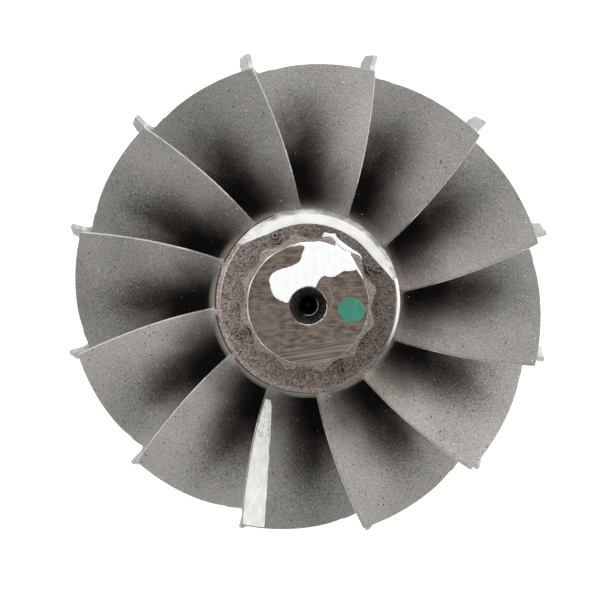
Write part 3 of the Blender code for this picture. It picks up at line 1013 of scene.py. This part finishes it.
# Paint. White paint was daubed on the nose beside the hole, ran over the boss's edge and lies on
# the collar; the same white marks one blade's trailing edge, and a dot of green sits by the hole.
# All of it was brushed on by hand: thin, with soft edges, a few worn spots and dirt on it.
FILM_GRID = 0.35
FILM_THICKNESS = 0.06
FILM_EDGE = 0.22
DAUB = [(-2.14, 9.6), (-1.26, 9.91), (-0.21, 10.0), (0.93, 10.04), (1.89, 10.09), (2.94, 9.83)]
DAUB += [(3.99, 9.48), (4.87, 9.13), (5.92, 8.51), (6.8, 7.9), (7.4, 7.05), (8.0, 5.85)]
DAUB += [(8.35, 5.25), (8.3, 5.01), (7.88, 5.71), (7.5, 5.36), (6.62, 5.19), (5.74, 5.27)]
DAUB += [(5.04, 4.84), (4.17, 4.35), (3.29, 4.31), (2.59, 4.49), (2.07, 4.14), (1.54, 3.43)]
DAUB += [(1.37, 2.91), (1.05, 2.65), (0.25, 2.8), (-0.95, 2.63), (-2.05, 2.0), (-2.8, 1.1)]
DAUB += [(-3.19, 0.28), (-3.71, 0.19), (-4.41, 0.46), (-5.29, 0.98), (-5.9, 1.86), (-6.16, 2.91)]
DAUB += [(-6.34, 3.79), (-6.08, 4.66), (-5.29, 5.36), (-4.06, 5.8), (-3.01, 6.06), (-2.31, 6.41)]
DAUB += [(-1.61, 6.85), (-1.26, 7.46), (-0.91, 8.34), (-0.65, 9.21), (-1.25, 9.45)]
BAND = [(2.1, 10.2), (2.3, 10.7), (2.45, 11.1), (2.77, 11.43), (3.58, 11.21), (4.47, 11.21)]
BAND += [(4.74, 10.62), (5.91, 9.63), (7.15, 8.74), (8.32, 8.03), (8.74, 7.48), (8.85, 7.03)]
BAND += [(8.4, 7.0), (7.5, 7.3), (6.6, 7.9), (5.7, 8.5), (4.7, 9.1), (3.7, 9.7), (2.8, 10.0)]
DOT = [(4.8, -0.3), (5.6, 0.5), (6.1, 1.05), (6.95, 1.27), (7.5, 0.97), (8.8, 0.12), (9.2, -0.5)]
DOT += [(9.27, -1.4), (8.2, -2.88), (7.0, -2.75), (5.95, -3.2), (5.65, -3.1), (5.6, -2.4)]
DOT += [(4.87, -1.6)]
STRIPE_TIP_ANGLE = FIRST_TIP_ANGLE + 8 * PITCH
STRIPE_START = 2.9
STRIPE_SHARE_AT_HUB = 0.018
STRIPE_SHARE_AT_TIP = 0.09
STRIPE_EDGE_SHARE = 0.0015
STRIPE_STEPS = 69
STRIPE_STEPS_ACROSS = 12
RUN_FROM = 49
RUN_WIDTH = 16
RUN_STEPS = 16


def smooth_outline(points):
    """A closed outline with two rounding points between each pair."""
    smooth = []
    count = len(points)
    for i in range(count):
        p = [Vector(points[(i + k) % count]) for k in (-1, 0, 1, 2)]
        for t in (0.0, 1 / 3, 2 / 3):
            bend = (2 * p[0] - 5 * p[1] + 4 * p[2] - p[3]) * t**2
            bend += (3 * p[1] - p[0] - 3 * p[2] + p[3]) * t**3
            smooth.append((2 * p[1] + (p[2] - p[0]) * t + bend) / 2)
    return smooth


def distance_to(outline, x, y):
    """How far a point lies from an outline; below zero outside it."""
    nearest = inf
    inside = False
    for a, b in zip(outline, outline[1:] + outline[:1]):
        edge = b - a
        share = held(((x - a.x) * edge.x + (y - a.y) * edge.y) / max(edge.length_squared, 1e-9))
        nearest = min(nearest, hypot(x - a.x - edge.x * share, y - a.y - edge.y * share))
        if (a.y > y) != (b.y > y) and x < a.x + edge.x * (y - a.y) / edge.y:
            inside = not inside
    return nearest if inside else -nearest


def painted_height(x, y):
    """The boss's top under paint, which stands a little thicker on the chamfer and its edge."""
    return nose_height(x, y) + 0.04 * held((hypot(x, y) - DRIVE_FACE_RADIUS + 0.4) / 0.3)


def build_film(points, surface):
    """A thin film of paint inside an outline, lying on a surface given as height over (x, y)."""
    outline = smooth_outline(points)
    corners = list(outline)
    low_x = min(p.x for p in outline)
    low_y = min(p.y for p in outline)
    for i in range(int((max(p.x for p in outline) - low_x) / FILM_GRID)):
        for j in range(int((max(p.y for p in outline) - low_y) / FILM_GRID)):
            x = low_x + (i + 0.5 + j % 2 / 2) * FILM_GRID
            spot = Vector((x, low_y + (j + 0.5) * FILM_GRID))
            if distance_to(outline, spot.x, spot.y) > 0.08:
                corners.append(spot)
    loop = [(i, (i + 1) % len(outline)) for i in range(len(outline))]
    flat, _, faces, _, _, _ = delaunay_2d_cdt(corners, loop, [], 1, 1e-5)
    bm = bmesh.new()
    verts = []
    for spot in flat:
        inner = held(distance_to(outline, spot.x, spot.y) / FILM_EDGE)
        lumpy = 0.75 + 0.5 * noise.noise(Vector((spot.x, spot.y, 2.0)) * 0.8)
        rise = FILM_THICKNESS * lumpy * sqrt(1 - (1 - inner) ** 2) - 0.015 * (inner < 0.01)
        verts.append(bm.verts.new((spot.x, spot.y, surface(spot.x, spot.y) + rise)))
    for face in faces:
        bm.faces.new([verts[i] for i in face])
    return bm


def paint_grid(rows):
    """A film over a grid of surface points, lifted off it and with its edges laid down on it."""
    bm = bmesh.new()
    lifted = []
    for i, row in enumerate(rows):
        line = []
        for k, spot in enumerate(row):
            across = row[min(k + 1, len(row) - 1)] - row[max(k - 1, 0)]
            along = rows[min(i + 1, len(rows) - 1)][k] - rows[max(i - 1, 0)][k]
            edge = i in (0, len(rows) - 1) or k in (0, len(row) - 1)
            lift = across.cross(along).normalized() * (0.005 if edge else 0.04)
            line.append(bm.verts.new(spot + lift))
        lifted.append(line)
    join_rings(bm, lifted, closed=False)
    return bm


def stripe_rows():
    """Points on the painted blade, row by row from its hub to its tip, each out to the edge."""
    rows = []
    length = dist(hub_point(0.0), shroud_point(0.0))
    for i in range(STRIPE_STEPS + 1):
        distance = STRIPE_START + (length - 0.02 - STRIPE_START) * i / STRIPE_STEPS
        along = i / STRIPE_STEPS
        reach = between(STRIPE_SHARE_AT_HUB, STRIPE_SHARE_AT_TIP, along**0.6)
        reach += 0.003 * noise.noise(Vector((distance * 0.5, 0.0, 5.0))) * min(1.0, 3 * along)
        row = []
        for k in range(STRIPE_STEPS_ACROSS + 1):
            chord = reach + (STRIPE_EDGE_SHARE - reach) * k / STRIPE_STEPS_ACROSS
            here = distance * dist(hub_point(chord), shroud_point(chord)) / length
            row.append(blade_point(STRIPE_TIP_ANGLE, chord, here, 1))
        rows.append(row)
    return rows


def wall_rows():
    """Points down the boss's side where the white paint ran over, from side to side of the run."""
    rows = []
    for i in range(RUN_STEPS + 1):
        angle = radians(RUN_FROM + RUN_WIDTH * i / RUN_STEPS)
        radius = drive_radius(angle)
        ends = 0.3 + 0.25 * noise.noise(Vector((i * 0.4, 0.0, 1.0)))
        inner = DRIVE_FACE_RADIUS - 0.2
        spots = [on_circle(r, angle) for r in (inner, (inner + radius) / 2, radius)]
        row = [Vector((x, y, nose_height(x, y))) for x, y in spots]
        top = row[-1].z
        for k in range(1, 8):
            height = top + (COLLAR_Z + ends - top) * k / 7
            flare = max(0.0, DRIVE_ROOT_FILLET - (height - COLLAR_Z)) * 0.5
            row.append(Vector((*on_circle(radius + flare, angle), height)))
        rows.append(row)
    return rows


def rim_sliver(first, last, half):
    """Outline of a thin run of paint along the rim of the boss's face, pointed at both ends."""
    steps = 12
    points = []
    for side in (1, -1):
        for k in range(steps + 1):
            part = k / steps if side > 0 else 1 - k / steps
            width = half * side * sin(pi * min(max(part, 0.02), 0.98))
            points.append(polar(DRIVE_FACE_RADIUS - 0.02 + width, between(first, last, part)))
    return points


def make_paint(name, colour, thin, dirt, roughness, chipped_within=0.0):
    """Hand paint: brush streaks of thicker and thinner paint, fine dirt and a few worn spots."""
    material = new_material(name)
    where, _, _, _, radius = place_on_wheel(material)
    streaks = cloud(stretch(where, 1.4, 0.5, 0.7), 1.0, 3.0)
    grime = fade(cloud(where, 3.0, 3.0), 0.6, 0.8)
    chips = fade(cloud(stretch(where, 2.4, 1.2, 2.0), 1.0, 3.0), 0.56, 0.62)
    chips = chips * fade(radius, chipped_within, chipped_within - 4.0)
    worn_spots = calc("MAXIMUM", fade(cloud(where, 1.3, 3.0), 0.7, 0.76), chips)
    shade = mix_colours(fade(streaks, 0.3, 0.7), thin, colour)
    shade = mix_colours(grime * 0.18, shade, dirt)
    shade = mix_colours(worn_spots * 0.7, shade, dirt)
    rough = mix_values(grime, roughness, roughness + 0.25)
    return dress(material, shade, 0.0, rough, streaks + grime, 0.03)


white_paint = make_paint("white_paint", (0.64, 0.65, 0.645), (0.59, 0.6, 0.59),
                         dirt=(0.16, 0.15, 0.14), roughness=0.45)
stripe_paint = make_paint("stripe_paint", (0.56, 0.555, 0.53), (0.45, 0.445, 0.42),
                          dirt=(0.09, 0.085, 0.08), roughness=0.5, chipped_within=27.0)
green_paint = make_paint("green_paint", (0.021, 0.155, 0.104), (0.014, 0.125, 0.082),
                         dirt=(0.02, 0.06, 0.045), roughness=0.6)
right_sliver = rim_sliver(24.0, 45.0, 0.17)
left_sliver = rim_sliver(93.0, 106.0, 0.15)
films = {
    "white_daub": (build_film(DAUB, painted_height), white_paint),
    "white_run": (paint_grid(wall_rows()), white_paint),
    "white_on_collar": (build_film(BAND, lambda x, y: COLLAR_Z + 0.03), white_paint),
    "white_sliver_right": (build_film(right_sliver, painted_height), white_paint),
    "white_sliver_left": (build_film(left_sliver, painted_height), white_paint),
    "white_stripe": (paint_grid(stripe_rows()), stripe_paint),
    "green_dot": (build_film(DOT, nose_height), green_paint),
}
for film_name, (film_bm, paint) in films.items():
    film = add_piece(film_name, film_bm, [paint], sharp=60)
    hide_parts("turbine_wheel")

# Studio. A pale sheet of paper under the wheel and soft light from all round, with the camera
# 400 mm above the blades' tips, almost on the wheel's axis.
CAMERA_DISTANCE = 400.0
CAMERA_TILT = radians(2.8)
PHOTO_PIXELS = 610
LENS_PIXELS = 2368
SENSOR = 36.0
AXIS_RIGHT = 0.52
AXIS_UP = 1.01

camera_data = bpy.data.cameras.new("camera")
camera_data.sensor_width = SENSOR
camera_data.lens = SENSOR * LENS_PIXELS / PHOTO_PIXELS
camera_data.clip_start = 0.01
camera_data.clip_end = 20.0
camera = bpy.data.objects.new("camera", camera_data)
bpy.context.scene.collection.objects.link(camera)
forward = Vector((0.0, -sin(CAMERA_TILT), -cos(CAMERA_TILT)))
up = Vector((0.0, cos(CAMERA_TILT), -sin(CAMERA_TILT)))
right = forward.cross(up)
target = Vector((0.0, 0.0, TRAILING_TIP_Z))
camera.location = (target - forward * CAMERA_DISTANCE - right * AXIS_RIGHT - up * AXIS_UP) * MM
camera.rotation_euler = Matrix((right, up, -forward)).transposed().to_euler()
bpy.context.scene.camera = camera

floor_bm = bmesh.new()
bmesh.ops.create_grid(floor_bm, x_segments=1, y_segments=1, size=2.0)
floor_mesh = bpy.data.meshes.new("floor")
floor_bm.to_mesh(floor_mesh)
floor_bm.free()
floor = bpy.data.objects.new("floor", floor_mesh)
paper = new_material("floor_paper")
fibres = cloud(Wire(add_node(paper.node_tree, "TexCoord").outputs["Object"]), 60.0, 4.0)
dress(paper, mix_colours(fibres, (0.93, 0.93, 0.93), (0.96, 0.96, 0.96)), 0.0, 0.9, fibres, 0.02)
paper_shader = paper.node_tree.nodes["Principled BSDF"]
paper_shader.inputs["Emission Color"].default_value = (1.0, 1.0, 1.0, 1.0)
paper_shader.inputs["Emission Strength"].default_value = 0.35
floor_mesh.materials.append(paper)
bpy.context.scene.collection.objects.link(floor)

SIDE_LIGHT = 2.9
TOP_LIGHT = 0.09
UNDER_LIGHT = 0.9
KEY_SHARE = 0.5
KEY_ANGLE = radians(70)
world = bpy.data.worlds.new("studio")
world.use_nodes = True
bpy.context.scene.world = world
direction = Wire(add_node(world.node_tree, "TexCoord").outputs["Generated"])
upward = flow("SeparateXYZ", {0: direction}, 2)
around = mix_values(fade(upward, 0.55, 0.9), SIDE_LIGHT, TOP_LIGHT)
around = mix_values(fade(upward, -0.1, -0.5), around, UNDER_LIGHT)
key = (*on_circle(KEY_SHARE, KEY_ANGLE), 0.0)
lean_to_key = flow("VectorMath", {0: direction, 1: key}, "Value", operation="DOT_PRODUCT")
background = world.node_tree.nodes["Background"]
feed(background.inputs["Color"], (1.0, 1.0, 1.0))
feed(background.inputs["Strength"], around * (lean_to_key + 1.0))
bpy.context.scene.view_settings.view_transform = "Standard"
